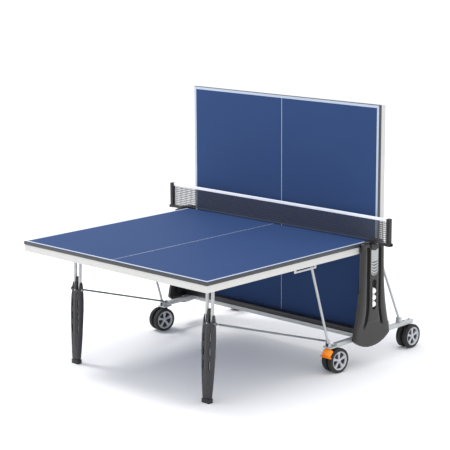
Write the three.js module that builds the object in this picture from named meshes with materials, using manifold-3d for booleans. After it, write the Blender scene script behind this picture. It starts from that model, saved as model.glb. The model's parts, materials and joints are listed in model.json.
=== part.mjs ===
// Two-half folding table-tennis table in its one-player position: the near half is level on
// its legs, the far half stands upright behind the net. Millimetres, +Z up, net along X,
// near half toward -Y. The origin is on the floor at the middle of the bounding box.
import * as THREE from 'three';
import { mergeVertices } from 'three/addons/utils/BufferGeometryUtils.js';
import Module from 'manifold-3d';

const wasm = await Module();
wasm.setup();

// ---- driving dimensions ----
const TOP_LENGTH = 1370;          // one half, net line to end line
const TOP_WIDTH = 1525;
const TOP_HEIGHT = 760;           // playing surface above the floor
const SHEET = 6;                  // laminate playing sheet
const BAND_DEPTH = 22;            // edge band, from the playing surface down
const BAND_WIDTH = 20;
const APRON_DEPTH = 62;           // underside of the apron below the playing surface
const APRON_WALL = 1.6;
const APRON_INSET = 3;
const FLANGE = 16;
const NET_HEIGHT = 152.5;
const NET_OVERHANG = 152.5;       // outside of a post beyond the side line
const PLAY_EDGE = 2;              // net line of a level half from the net plane
const STORE_FACE = 72;            // playing face of an upright half from the net plane
const STORE_EDGE = 188;           // lower edge of an upright half above the floor
const SHAFT_S = 20;               // carriage shaft from the net line, along a half
const SHAFT_T = 45;               // carriage shaft below the playing surface
const SHAFT_R = 10;
const LEG_S = 1130;               // leg hinge from the net line
const LEG_T = 65;
const LEG_X = 553;                // leg centre from the middle of the table
const LEG_LEAN = 35;              // how far a foot stands outside its hinge
const LEG_STORED_TILT = 0.3;      // degrees off plumb when folded, foot outward
const LEG_PIN = 240;              // link rod pin down the leg from the hinge
const TUBE_GAP = 42;              // between the two tubes of a leg
const TUBE_R = 10;
const SHELL_TOP = 160;            // top of the moulded leg shell below the hinge
const SHELL_W = 80;
const SHELL_D = 44;
const TUBE_WALL = 2;
const BEAM_X = 715;
const BEAM_W = 30;
const BEAM_Z0 = 156;
const BEAM_Z1 = 180;
const NEAR_END = 255;             // near end of a side beam from the net plane
const FAR_END = 486;
const NEAR_PIVOT = { u: 300, z: 178 };
const FAR_PIVOT = { u: 378, z: 198 };
const ROD_PIVOT = { u: 285, z: 191 };
const STRUT_LENGTH = 526.5;
const STRUT_T = 80;               // strut top pivot below the playing surface
const STRUT_X = 701;
const ROD_PIVOT_X = 680;
const ROD_LEG_X = 602;
const ROD_R = 5.5;
const CASTER_X = 704;
const NEAR_CASTER = 273;          // caster stems from the net plane
const FAR_CASTER = 440;
const TRAIL = 30;
const WHEEL_R = 75;
const WHEEL_HALF = 41;            // outer face of a twin wheel from its middle
const WHEEL_GAP = 10;             // inner face of a twin wheel from its middle
const TOWER_X = 766;              // inner face of a side tower
const TOWER_OUT = 796;            // outer face of a side tower
const BALL_R = 20;
const BALL_X = 789.5;
const BALL_Z0 = 362;              // floor of the ball channel
const BALL_TOP = 548;
const PANEL_OUT = 801;           // outer face of the bulging middle panel of a tower
const POST_W = 24;
const GAP = 0.3;                  // air between two pieces that meet
const RUN = 0.25;                 // radial clearance of a turning pin

const HALF_W = TOP_WIDTH / 2;
const POST_OUT = HALF_W + NET_OVERHANG;
const DEG = Math.PI / 180;
const SHIFT_Y = (PLAY_EDGE + TOP_LENGTH - FAR_CASTER - TRAIL - WHEEL_R) / 2;

// ---- materials ----
const paint = (color, roughness, metalness = 0) =>
  new THREE.MeshStandardMaterial({ color, roughness, metalness });
const BLUE = paint(0x3f5284, 0.55);
const BAND = paint(0x45464b, 0.5, 0.3);
const WHITE = paint(0xe4e4df, 0.4, 0.2);
const STEEL = paint(0xd4d6d6, 0.35, 0.6);
const MOULDED = paint(0x3e3d41, 0.6);
const TOWER = paint(0x4b4b4c, 0.6);
const TYRE = paint(0x1b1b1c, 0.8);
const ORANGE = paint(0xff8c12, 0.4);
const BALL = paint(0xf4f4f1, 0.5);
const MESH = paint(0x20232a, 0.9);
const TAPE = paint(0xe6e8ee, 0.8);
const DARK = paint(0x2b2b2e, 0.7);

// ---- shape helpers ----
const box = (x0, x1, y0, y1, z0, z1) => new THREE.BoxGeometry(x1 - x0, y1 - y0, z1 - z0)
  .translate((x0 + x1) / 2, (y0 + y1) / 2, (z0 + z1) / 2);

const outline = (points) => new THREE.Shape(points.map(([a, b]) => new THREE.Vector2(a, b)));

// Prism of an outline in Y and Z, running along X.
function prismX(points, x0, x1) {
  const g = new THREE.ExtrudeGeometry(outline(points), { depth: x1 - x0, bevelEnabled: false });
  return g.applyMatrix4(new THREE.Matrix4().set(0, 0, 1, x0, 1, 0, 0, 0, 0, 1, 0, 0, 0, 0, 0, 1));
}

// Prism of an outline in X and Z, running along Y.
function prismY(points, y0, y1) {
  const g = new THREE.ExtrudeGeometry(outline(points), { depth: y1 - y0, bevelEnabled: false });
  return g.applyMatrix4(new THREE.Matrix4().set(1, 0, 0, 0, 0, 0, -1, y1, 0, 1, 0, 0, 0, 0, 0, 1));
}

// Prism of an outline in X and Y, running along Z.
const prismZ = (points, z0, z1) => new THREE.ExtrudeGeometry(outline(points),
  { depth: z1 - z0, bevelEnabled: false }).translate(0, 0, z0);

// Round bar between two points, each [x, y, z].
function bar(from, to, radius, sides = 12) {
  const a = new THREE.Vector3(...from);
  const b = new THREE.Vector3(...to);
  const dir = b.clone().sub(a);
  const g = new THREE.CylinderGeometry(radius, radius, dir.length(), sides);
  g.applyQuaternion(new THREE.Quaternion().setFromUnitVectors(
    new THREE.Vector3(0, 1, 0), dir.clone().normalize()));
  return g.translate((a.x + b.x) / 2, (a.y + b.y) / 2, (a.z + b.z) / 2);
}

function solid(geometry) {
  const g = geometry.clone();
  g.deleteAttribute('normal');
  g.deleteAttribute('uv');
  const m = mergeVertices(g, 1e-4);
  return new wasm.Manifold(new wasm.Mesh({
    numProp: 3,
    vertProperties: new Float32Array(m.attributes.position.array),
    triVerts: new Uint32Array(m.index.array),
  }));
}

const join = (...geometries) => geometries.map((g) => (g.isBufferGeometry ? solid(g) : g))
  .reduce((a, b) => a.add(b));
const cut = (base, ...tools) => tools.reduce((a, b) => a.subtract(solid(b)),
  base.isBufferGeometry ? solid(base) : base);

function geometryOf(manifold) {
  const m = manifold.getMesh();
  const g = new THREE.BufferGeometry();
  g.setAttribute('position', new THREE.BufferAttribute(new Float32Array(m.vertProperties), 3));
  g.setIndex(new THREE.BufferAttribute(new Uint32Array(m.triVerts), 1));
  const flat = g.toNonIndexed();
  flat.computeVertexNormals();
  return flat;
}

function put(parent, name, shape, material) {
  const mesh = new THREE.Mesh(shape.isBufferGeometry ? shape : geometryOf(shape), material);
  mesh.name = name;
  parent.add(mesh);
  return mesh;
}

function group(parent, x = 0, y = 0, z = 0, turnX = 0) {
  const g = new THREE.Group();
  g.position.set(x, y, z);
  g.rotation.x = turnX;
  parent.add(g);
  return g;
}

const arc = (cy, cz, r, from, to, steps) => Array.from({ length: steps + 1 }, (_, i) => {
  const a = (from + (to - from) * i / steps) * DEG;
  return [cy + r * Math.cos(a), cz + r * Math.sin(a)];
});

// ---- one half of the top, in its own frame: Y runs outward from the net line, Z up ----
function frameOutline(inset, inner, y0, y1) {
  const w = HALF_W - inset;
  return [box(-w, w, y0, y1, 0, 1), box(-w + inner, w - inner, y0 + inner, y1 - inner, -1, 2)];
}

function edgeBand() {
  const upstand = 2;
  const [outerLow, innerLow] = frameOutline(0, BAND_WIDTH, 0, TOP_LENGTH);
  const [outerHigh, innerHigh] = frameOutline(0, upstand, 0, TOP_LENGTH);
  const low = BAND_DEPTH - SHEET - GAP;
  const ringLow = cut(outerLow.scale(1, 1, low).translate(0, 0, -BAND_DEPTH),
    innerLow.scale(1, 1, low * 2).translate(0, 0, -BAND_DEPTH - low / 2));
  const ringHigh = cut(outerHigh.scale(1, 1, BAND_DEPTH - 1).translate(0, 0, -BAND_DEPTH),
    innerHigh.scale(1, 1, BAND_DEPTH * 2).translate(0, 0, -BAND_DEPTH * 1.5));
  return ringLow.add(ringHigh);
}

function apronFrame() {
  const w = HALF_W - APRON_INSET;
  const end = TOP_LENGTH - APRON_INSET;
  const z0 = -APRON_DEPTH;
  const z1 = -BAND_DEPTH - GAP;
  const start = 4;
  // Three sides of a rectangle, open at the net line.
  const channel = (out, y0, width, low, high) => prismZ([[-out, y0], [-out + width, y0],
    [-out + width, out - w + end - width], [out - width, out - w + end - width], [out - width, y0],
    [out, y0], [out, out - w + end], [-out, out - w + end]], low, high);
  let frame = join(channel(w, start, APRON_WALL, z0, z1),
    channel(w - 1, SHAFT_S + 30, FLANGE - 1, z0 + 0.4, z0 + APRON_WALL));
  frame = frame.add(solid(bar([-w + 1, LEG_S, -37], [w - 1, LEG_S, -37], 12, 12)));
  for (const side of [-1, 1]) {
    const rail = cut(box(0, 3, 430, 620, -STRUT_T - 16, -BAND_DEPTH - 4),
      box(-1, 4, 446, 604, -STRUT_T - 6, -STRUT_T + 6));
    const railX = STRUT_X + 12.5;
    const web = join(box(railX, w - 1, 440, 443, -54, -30), box(railX, w - 1, 607, 610, -54, -30));
    let bracket = web.add(rail.translate(railX, 0, 0));
    if (side < 0) bracket = bracket.mirror([1, 0, 0]);
    frame = frame.add(bracket);
    for (const cheek of [-1, 1]) {
      const x = side * LEG_X + cheek * 45;
      const plate = prismX([[LEG_S - 20, -30], [LEG_S - 18, -LEG_T - 8], ...arc(LEG_S, -LEG_T, 16,
        210, 330, 6), [LEG_S + 18, -LEG_T - 8], [LEG_S + 20, -30]], x - 2.5, x + 2.5);
      frame = frame.add(cut(plate,
        bar([x - 4, LEG_S, -LEG_T], [x + 4, LEG_S, -LEG_T], 7 + RUN, 14)));
    }
  }
  return cut(frame, bar([-w - 5, SHAFT_S, -SHAFT_T], [w + 5, SHAFT_S, -SHAFT_T],
    SHAFT_R + RUN, 24));
}

// ---- one leg, in a frame at its hinge with Z along the leg ----
const LEG_TILT = Math.atan2(LEG_LEAN, TOP_HEIGHT - LEG_T - 5);
const LEG_DROP = TOP_HEIGHT - LEG_T;
const floorAt = (y) => (-LEG_DROP - y * Math.sin(LEG_TILT)) / Math.cos(LEG_TILT);
const SHELL_BOTTOM = floorAt(0) + 26;
const TUBE_END = SHELL_BOTTOM + 110;

function legFrame() {
  const half = TUBE_GAP / 2;
  return join(
    bar([-42, 0, 0], [42, 0, 0], 13, 14), bar([-49, 0, 0], [49, 0, 0], 7, 14),
    bar([-half, 0, -2], [-half, 0, TUBE_END], TUBE_R, 12),
    bar([half, 0, -2], [half, 0, TUBE_END], TUBE_R, 12),
    bar([-SHELL_W / 2 - 1, 0, -LEG_PIN], [SHELL_W / 2 + 1, 0, -LEG_PIN], 7, 14));
}

function legShell() {
  const half = TUBE_GAP / 2;
  const top = -SHELL_TOP;
  const b = SHELL_BOTTOM;
  const w = SHELL_W / 2;
  const halfFace = [[w - 10, b], [w - 4, b + 150], [w, top - 240], [w - 2, top - 150],
    [w - 5, top - 90], [w - 8, top - 32], [w - 11, top - 70], [9, top - 76], [7, top - 12]];
  const face = [...halfFace, [0, top], ...halfFace.map(([x, z]) => [-x, z]).reverse()];
  const d = SHELL_D / 2;
  const side = [[-d + 5, b], [d - 5, b], [d, b + 190], [d - 1, top - 150], [d - 10, top + 2],
    [-d + 10, top + 2], [-d + 1, top - 150], [-d, b + 190]];
  let body = solid(prismY(face, -d, d)).intersect(solid(prismX(side, -w - 1, w + 1)));
  body = cut(body, bar([-half, 0, TUBE_END - 1], [-half, 0, top + 5], TUBE_R + GAP, 12),
    bar([half, 0, TUBE_END - 1], [half, 0, top + 5], TUBE_R + GAP, 12),
    bar([-w - 3, 0, -LEG_PIN], [w + 3, 0, -LEG_PIN], 7 + GAP, 14));
  for (const x of [-15, 15]) {
    for (let i = 0; i < 3; i += 1) {
      const z = top - 136 - i * 78;
      body = cut(body, prismY([[x - 5, z - 46], [x, z - 51], [x + 5, z - 46], [x + 5, z - 5],
        [x, z], [x - 5, z - 5]], -d - 1, d + 1));
    }
  }
  return cut(body, box(-16 - GAP, 16 + GAP, -12 - GAP, 12 + GAP, b - 1, b + 44));
}

function foot() {
  const w = SHELL_W / 2 - 11;
  const y = SHELL_D / 2 - 6;
  const pad = prismX([[-y, floorAt(-y)], [y, floorAt(y)], [y, SHELL_BOTTOM - GAP],
    [-y, SHELL_BOTTOM - GAP]], -w, w);
  return join(pad, box(-16, 16, -12, 12, SHELL_BOTTOM - 2, SHELL_BOTTOM + 30));
}

// Strut: round tube along Z from its lower eye at the origin.
function strut() {
  const eye = (z) => bar([-8, 0, z], [8, 0, z], 10, 14);
  const pin = bar([-8, 0, STRUT_LENGTH], [11, 0, STRUT_LENGTH], 5, 12);
  return cut(join(bar([0, 0, 3], [0, 0, STRUT_LENGTH - 3], 7.5, 14), eye(0), eye(STRUT_LENGTH), pin),
    bar([-12, 0, 0], [12, 0, 0], 5 + RUN, 14));
}

// Link rod along Z, slanting from the beam side at the origin to the leg side.
function linkRod(length, side) {
  const dx = side * (ROD_LEG_X - ROD_PIVOT_X);
  const rod = join(bar([0, 0, 4], [0, 0, 40], ROD_R - 1.5, 12),
    bar([0, 0, 30], [dx, 0, length - 30], ROD_R, 12),
    bar([dx, 0, length - 40], [dx, 0, length - 4], ROD_R - 1.5, 12),
    bar([-4.5, 0, 0], [4.5, 0, 0], 10, 14), bar([dx - 4.5, 0, length], [dx + 4.5, 0, length], 10, 14));
  return cut(rod, bar([-6, 0, 0], [6, 0, 0], 5 + RUN, 14),
    bar([dx - 6, 0, length], [dx + 6, 0, length], 4, 12));
}

// One half with everything that folds with it. Y of `out` runs away from the net plane.
function buildHalf(out, prefix, sideName, stored, strutPivot) {
  const fold = stored ? Math.PI / 2 : 0;
  const top = group(out, 0, stored ? STORE_FACE : PLAY_EDGE, stored ? STORE_EDGE : TOP_HEIGHT, fold);
  put(top, `${prefix}_board`, box(-HALF_W + 2.4, HALF_W - 2.4, 2.4, TOP_LENGTH - 2.4, -SHEET, 0), BLUE);
  put(top, `${prefix}_edge_band`, edgeBand(), BAND);
  put(top, `${prefix}_apron_frame`, apronFrame(), WHITE);
  const reach = TOWER_X + 16;
  put(top, `${prefix}_carriage_shaft`, join(
    bar([-reach + 1, SHAFT_S, -SHAFT_T], [reach - 1, SHAFT_S, -SHAFT_T], SHAFT_R, 20),
    bar([-reach, SHAFT_S, -SHAFT_T], [-reach + 10, SHAFT_S, -SHAFT_T], 15, 14),
    bar([reach - 10, SHAFT_S, -SHAFT_T], [reach, SHAFT_S, -SHAFT_T], 15, 14)), STEEL);
  out.updateMatrixWorld(true);
  const hinge = out.worldToLocal(top.localToWorld(new THREE.Vector3(0, LEG_S, -LEG_T)));
  const tilt = stored ? LEG_STORED_TILT * DEG : LEG_TILT;
  const pin = hinge.clone().add(new THREE.Vector3(0, Math.sin(tilt), -Math.cos(tilt))
    .multiplyScalar(LEG_PIN));
  const rodY = pin.y - ROD_PIVOT.u;
  const rodZ = pin.z - ROD_PIVOT.z;
  const strutTopY = stored ? STORE_FACE + STRUT_T - strutPivot.u
    : Math.sqrt(STRUT_LENGTH ** 2 - (TOP_HEIGHT - STRUT_T - strutPivot.z) ** 2);
  const strutTopZ = Math.sqrt(STRUT_LENGTH ** 2 - strutTopY ** 2);
  for (const side of [-1, 1]) {
    const name = `${prefix}_${sideName(side)}`;
    const leg = group(out, side * LEG_X, hinge.y, hinge.z, tilt);
    put(leg, `${name}_leg_frame`, legFrame(), STEEL);
    put(leg, `${name}_leg_shell`, legShell(), MOULDED);
    put(leg, `${name}_foot`, foot(), DARK);
    const strutGroup = group(out, side * STRUT_X, strutPivot.u, strutPivot.z,
      -Math.atan2(strutTopY, strutTopZ));
    const shape = strut();
    put(strutGroup, `${name}_strut`, side < 0 ? shape.mirror([1, 0, 0]) : shape, STEEL);
    const rodGroup = group(out, side * ROD_PIVOT_X, ROD_PIVOT.u, ROD_PIVOT.z,
      -Math.atan2(rodY, rodZ));
    put(rodGroup, `${name}_link_rod`, linkRod(Math.hypot(rodY, rodZ), side), STEEL);
  }
}

// ---- chassis ----
function ears(side, sign, pivot, roots, pinFrom) {
  const y = sign * pivot.u;
  const plate = (x0, x1, low) => join(prismX([[y - 12, low], [y + 12, low],
    ...arc(y, pivot.z, 12, 0, 180, 8)], Math.min(side * x0, side * x1), Math.max(side * x0, side * x1)));
  return join(plate(710, 714, roots), plate(686, 689.5, roots),
    bar([side * pinFrom, y, pivot.z], [side * 713, y, pivot.z], 5, 14));
}

function sideBeam(side) {
  const x0 = BEAM_X - BEAM_W / 2;
  const x1 = BEAM_X + BEAM_W / 2;
  const sided = (a, b, ...rest) => (side > 0 ? box(a, b, ...rest) : box(-b, -a, ...rest));
  let beam = join(sided(x0, x1, -NEAR_END, FAR_END, BEAM_Z0, BEAM_Z1),
    sided(x1 - 1, TOWER_X - GAP, -62, 62, 140, BEAM_Z1 - 2),
    sided(672, 730, -NEAR_PIVOT.u - 14, -NEAR_END + 8, BEAM_Z0, BEAM_Z0 + 8),
    sided(685, 703, FAR_PIVOT.u - 14, FAR_PIVOT.u + 14, BEAM_Z0 + 4, BEAM_Z1),
    sided(672, 703, ROD_PIVOT.u - 14, ROD_PIVOT.u + 14, BEAM_Z0, BEAM_Z0 + 8));
  beam = join(beam, ears(side, -1, NEAR_PIVOT, BEAM_Z0 + 6, 688));
  beam = join(beam, ears(side, 1, FAR_PIVOT, BEAM_Z1 - 6, 688));
  for (const y of [-ROD_PIVOT.u, ROD_PIVOT.u]) {
    const lug = prismX([[y - 11, BEAM_Z0 + 6], [y + 11, BEAM_Z0 + 6],
      ...arc(y, ROD_PIVOT.z, 11, 0, 180, 8)], Math.min(side * 685.4, side * 689),
      Math.max(side * 685.4, side * 689));
    beam = join(beam, lug, bar([side * 673, y, ROD_PIVOT.z], [side * 688, y, ROD_PIVOT.z], 5, 14));
  }
  const stem = (y) => bar([side * CASTER_X, y, BEAM_Z0 - 1], [side * CASTER_X, y, BEAM_Z0 + 7],
    8 + RUN, 14);
  return cut(beam, stem(-NEAR_CASTER), stem(FAR_CASTER), sided(x0 + TUBE_WALL, x1 - TUBE_WALL,
    -NEAR_END + 12, FAR_END - 3, BEAM_Z0 + TUBE_WALL, BEAM_Z1 - TUBE_WALL));
}

// Outline of a tower side in Y and Z, narrow at the top and flared over the beam.
function towerOutline(inset) {
  const half = [[0, 122], [62, 126], [112, 140], [150, 162], [168, 182], [160, 222], [140, 300],
    [120, 400], [109, 500], [104, 620], [101, 735], [90, 762]];
  const right = half.map(([y, z]) => [Math.max(0, y - inset * (y > 0 ? 1 : 0)),
    z + (z < 200 ? inset : 0) - (z > 750 ? inset : 0)]);
  const left = right.slice(1).reverse().map(([y, z]) => [-y, z]);
  return [...right, ...left];
}

const slotCentre = (k) => [PLAY_EDGE + SHAFT_S + k * (STORE_FACE + SHAFT_T - PLAY_EDGE - SHAFT_S),
  TOP_HEIGHT - SHAFT_T + k * (STORE_EDGE + SHAFT_S - TOP_HEIGHT + SHAFT_T)];

function guidePlate(side) {
  const x0 = side > 0 ? TOWER_X : -TOWER_X - 3;
  let plate = solid(prismX(towerOutline(7), x0, x0 + 3));
  const [ya, za] = slotCentre(0);
  const [yb, zb] = slotCentre(1);
  for (const half of [-1, 1]) {
    const tilt = Math.atan2(yb - ya, za - zb);
    const w = SHAFT_R + 0.8;
    const slot = [...arc(0, 0, w, 0, 180, 8), ...arc(0, -Math.hypot(yb - ya, zb - za), w, 180, 360, 8)];
    const turned = slot.map(([y, z]) => {
      const c = Math.cos(tilt);
      const s = Math.sin(tilt);
      return [half * (ya + y * c - z * s), za + y * s + z * c];
    });
    plate = cut(plate, prismX(half > 0 ? turned : turned.reverse(), x0 - 1, x0 + 4));
  }
  return cut(plate, box(x0 - 1, x0 + 4, -BALL_R - 2, BALL_R + 2, BALL_Z0 - 2, BALL_TOP));
}

function towerCover(side) {
  const inner = TOWER_X + 3 + GAP;
  const channel = BALL_R + 1;
  const skin = 3.2;
  let cover = solid(prismX(towerOutline(0), inner, TOWER_OUT));
  cover = cover.add(solid(prismX([[-40, 290], [-26, 272], [26, 272], [40, 290], [40, 724],
    [32, 740], [-32, 740], [-40, 724]], TOWER_OUT - 1, PANEL_OUT)));
  for (const y of [-1, 1]) {
    const ridge = [[66, 300], [92, 300], [88, 500], [86, 700], [78, 728], [66, 716]];
    const points = ridge.map(([a, z]) => [y * a, z]);
    cover = cover.add(solid(prismX(y > 0 ? points : points.reverse(),
      TOWER_OUT - 1, TOWER_OUT + 3)));
  }
  cover = cut(cover, prismX(towerOutline(6), inner - 1, TOWER_OUT - 4));
  cover = join(cover, box(inner, TOWER_OUT - 2, -channel - 3, channel + 3, BALL_Z0 - 3, BALL_TOP));
  cover = cut(cover, box(inner - 1, PANEL_OUT - skin, -channel, channel, BALL_Z0, BALL_TOP + 1),
    prismX([...arc(0, 512, 18.4, 0, 180, 8), ...arc(0, 368, 18.4, 180, 360, 8)],
      TOWER_OUT - 6, PANEL_OUT + 1),
    bar([TOWER_OUT - 6, 0, 512], [PANEL_OUT + 1, 0, 512], BALL_R + 1, 24));
  return side > 0 ? cover : cover.mirror([1, 0, 0]);
}

function netArm(side) {
  const place = (g) => (side > 0 ? g : g.mirror([1, 0, 0]));
  return place(join(prismX([[-60, 762 + GAP], [60, 762 + GAP], [52, 770], [-52, 770]],
    TOWER_X, TOWER_OUT + 4), box(TOWER_OUT + 2, POST_OUT + 8, -15, 15, 748, 766),
  box(TOWER_OUT - 6, TOWER_OUT + 30, -26, 26, 762 + GAP, 768),
  box(TOWER_OUT + 2, TOWER_OUT + 30, -26, 26, 748, 764)));
}

function netPost(side) {
  const x0 = side > 0 ? POST_OUT - POST_W : -POST_OUT;
  return join(box(x0, x0 + POST_W, -13, 13, 766 + GAP, TOP_HEIGHT + NET_HEIGHT - 4),
    box(x0 + 3, x0 + POST_W - 3, -10, 10, 800, TOP_HEIGHT + NET_HEIGHT + 1));
}

// ---- casters ----
// The caster frame has its origin on the floor below the stem and Y toward the axle.
function casterFork() {
  const y = TRAIL;
  const plate = prismX([[-13, 146], [-13, 152], [18, 152], [28, 146], [60, 118],
    [y + 12, WHEEL_R - 12], [y - 12, WHEEL_R - 12], [-2, 128]], -8, 8);
  return join(plate, bar([0, 0, 149], [0, 0, BEAM_Z0 - GAP - 0.7], 13, 14),
    bar([0, 0, 140], [0, 0, BEAM_Z0 + 6], 8, 14),
    bar([-WHEEL_HALF + 6, y, WHEEL_R], [WHEEL_HALF - 6, y, WHEEL_R], 6, 14));
}

function wheel(side) {
  const a = WHEEL_GAP;
  const b = WHEEL_HALF;
  const bore = 6 + RUN;
  const profile = [[bore, a + 3], [50, a + 8], [56, a], [70, a], [WHEEL_R, a + 6],
    [WHEEL_R, b - 6], [70, b], [56, b], [51, b - 11], [bore, b - 5]];
  const points = profile.map(([r, x]) => new THREE.Vector2(r, x));
  points.push(points[0].clone());
  let body = solid(new THREE.LatheGeometry(points, 20).rotateZ(-Math.PI / 2));
  for (let i = 0; i < 5; i += 1) {
    const t = i * 72 * DEG;
    const at = ([y, z]) => [y * Math.cos(t) - z * Math.sin(t), y * Math.sin(t) + z * Math.cos(t)];
    body = cut(body, prismX([[-5, 22], [5, 22], [18, 41], [-18, 41]].map(at), a - 1, b + 1));
  }
  if (side < 0) body = body.mirror([1, 0, 0]);
  return body.translate([0, TRAIL, WHEEL_R]);
}

function brakePedal() {
  const cy = TRAIL;
  const cz = WHEEL_R;
  const inner = WHEEL_R + 3;
  const hood = prismX([...arc(cy, cz, inner, 128, 160, 6), [-46, 104], [-54, 109], [-57, 124],
    [-54, 138], [-46, 149], [-36, 154], [-28, 153], [-21, 147]].reverse(), -40, 40);
  const brim = prismX([[-46, 104], [-66, 103], [-71, 107], [-68, 112], [-55, 120]].reverse(), -48, 48);
  return join(hood, brim, prismX([...arc(cy, cz, inner + 2, 142, 156, 2),
    ...arc(cy, cz, 56, 156, 142, 2)], -6, 6));
}

function caster(parent, name, x, y, turn, braked) {
  const g = group(parent, x, y, 0);
  g.rotation.z = turn;
  put(g, `${name}_fork`, casterFork(), DARK);
  put(g, `${name}_wheel_right`, wheel(Math.cos(turn) > 0 ? 1 : -1), TYRE);
  put(g, `${name}_wheel_left`, wheel(Math.cos(turn) > 0 ? -1 : 1), TYRE);
  if (braked) put(g, `${name}_brake_pedal`, brakePedal(), ORANGE);
}

// ---- assembly ----
const table = new THREE.Group();
table.position.y = SHIFT_Y;
table.updateMatrixWorld(true);

const near = new THREE.Group();
near.rotation.z = Math.PI;
table.add(near);
const far = new THREE.Group();
table.add(far);
buildHalf(near, 'near', (side) => (side < 0 ? 'right' : 'left'), false, NEAR_PIVOT);
buildHalf(far, 'far', (side) => (side < 0 ? 'left' : 'right'), true, FAR_PIVOT);

const inner = BEAM_X - BEAM_W / 2 - GAP;
put(table, 'cross_tube', cut(box(-inner, inner, -25, 25, BEAM_Z0, BEAM_Z1),
  box(-inner - 1, inner + 1, -25 + TUBE_WALL, 25 - TUBE_WALL, BEAM_Z0 + TUBE_WALL,
    BEAM_Z1 - TUBE_WALL)), STEEL);
put(table, 'cross_cover', box(-TOWER_X + GAP, TOWER_X - GAP, -26, 26, BEAM_Z1 + GAP, 212), MOULDED);
for (const [side, name] of [[-1, 'left'], [1, 'right']]) {
  put(table, `${name}_side_beam`, sideBeam(side), STEEL);
  put(table, `${name}_guide_plate`, guidePlate(side), DARK);
  put(table, `${name}_tower_cover`, towerCover(side), TOWER);
  put(table, `${name}_net_arm`, netArm(side), MOULDED);
  put(table, `${name}_net_post`, netPost(side), MOULDED);
}

caster(table, 'near_right_caster', CASTER_X, -NEAR_CASTER, -5 * DEG, true);
caster(table, 'near_left_caster', -CASTER_X, -NEAR_CASTER, 171 * DEG, false);
caster(table, 'far_right_caster', CASTER_X, FAR_CASTER, 0, false);
caster(table, 'far_left_caster', -CASTER_X, FAR_CASTER, 180 * DEG, true);

const netEnd = POST_OUT - POST_W - GAP;
const tapeLow = TOP_HEIGHT + NET_HEIGHT - 19;
const netPanel = [[-netEnd, 772], [-HALF_W, 772], [-HALF_W, 763], [HALF_W, 763], [HALF_W, 772],
  [netEnd, 772], [netEnd, tapeLow - GAP], [-netEnd, tapeLow - GAP]];
put(table, 'net', prismY(netPanel, -1.5, 1.5), MESH);
put(table, 'net_tape', box(-netEnd, netEnd, -3, 3, tapeLow, TOP_HEIGHT + NET_HEIGHT), TAPE);

for (let i = 0; i < 3; i += 1) {
  const ball = new THREE.SphereGeometry(BALL_R - 0.2, 16, 10);
  put(table, `ball_${i + 1}`, ball.translate(BALL_X, 0, BALL_Z0 + GAP + BALL_R + i * 2 * BALL_R), BALL);
}

export default table;
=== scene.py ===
"""Folding table-tennis table: one half level on its legs, the other upright behind the net."""
import json
import math

import bpy
import bmesh
from mathutils import Matrix, Vector


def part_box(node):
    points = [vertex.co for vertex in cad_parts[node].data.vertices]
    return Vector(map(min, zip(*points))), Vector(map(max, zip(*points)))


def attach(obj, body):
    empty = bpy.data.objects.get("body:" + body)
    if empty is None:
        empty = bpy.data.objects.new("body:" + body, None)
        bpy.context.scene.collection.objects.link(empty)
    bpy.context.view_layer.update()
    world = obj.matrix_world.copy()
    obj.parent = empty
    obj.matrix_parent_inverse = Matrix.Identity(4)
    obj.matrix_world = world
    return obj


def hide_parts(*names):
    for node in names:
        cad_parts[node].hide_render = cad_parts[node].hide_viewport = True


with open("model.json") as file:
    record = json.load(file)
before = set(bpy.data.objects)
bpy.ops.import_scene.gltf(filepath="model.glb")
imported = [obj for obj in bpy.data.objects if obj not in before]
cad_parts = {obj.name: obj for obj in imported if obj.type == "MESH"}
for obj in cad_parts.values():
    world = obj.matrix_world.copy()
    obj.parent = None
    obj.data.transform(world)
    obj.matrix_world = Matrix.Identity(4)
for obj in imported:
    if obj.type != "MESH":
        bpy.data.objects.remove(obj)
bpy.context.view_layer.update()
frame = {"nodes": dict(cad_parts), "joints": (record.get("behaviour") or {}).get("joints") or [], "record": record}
nodes = frame["nodes"]
scene = bpy.context.scene

# ---- measures of the table, in metres ----
MM = 0.001
BOARD_LINE = 15 * MM              # white lines along the ends and sides
CENTRE_LINE = 3.4 * MM
NET_LOW, NET_HIGH = (Vector(corner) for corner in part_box("net"))
NET_Y = (NET_LOW.y + NET_HIGH.y) / 2
PANEL_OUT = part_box("right_tower_cover")[1][0]
TOWER_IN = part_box("right_tower_cover")[0][0]
TOWER_OUT = PANEL_OUT - 5 * MM
SIDES = (("left", -1), ("right", 1))
NET_FOOT = 772.5 * MM             # lowest thread of the net
NET_CELL = 11.8 * MM              # from one thread to the next
NET_THREAD = 2.9 * MM
STITCH_PITCH = 8 * MM
CORD_END, CORD_Z, CORD_R = 760.5 * MM, 769.5 * MM, 2.6 * MM
CHANNEL_FLOOR, CHANNEL_ROOF = 362 * MM, 549 * MM
CHANNEL_HALF = 21 * MM
SLOT_LOW, SLOT_HIGH = 368 * MM, 512 * MM   # centres of the round ends of the ball slot
SLOT_HALF = 18.4 * MM
MOUTH_R = 21.5 * MM               # round ball mouth at the top of the slot
LIP_LOW, LIP_HIGH = 372 * MM, 486 * MM     # ends of the lips beside the balls
ARM_IN, ARM_Z = 766 * MM, 757 * MM
BEAM_TOP = 180 * MM

# ---- measures of the casters and legs, in millimetres ----
WHEEL_R = 75
TRAIL = 30                        # axle behind the caster's stem
TYRE_CLEAR = 3.4                  # air between a tyre and the pedal's hood
LEG_TUBE_X = 21                   # a leg tube from the middle of its leg
LEG_BORE_R = 10.4
LEG_BORE_END = -562               # lower end of the bores, up the leg from its hinge
ROD_PIN = -240                    # pin of the link rod, up the leg from its hinge
SHELL_LOW, SHELL_TOP = -668.5, -160


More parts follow.
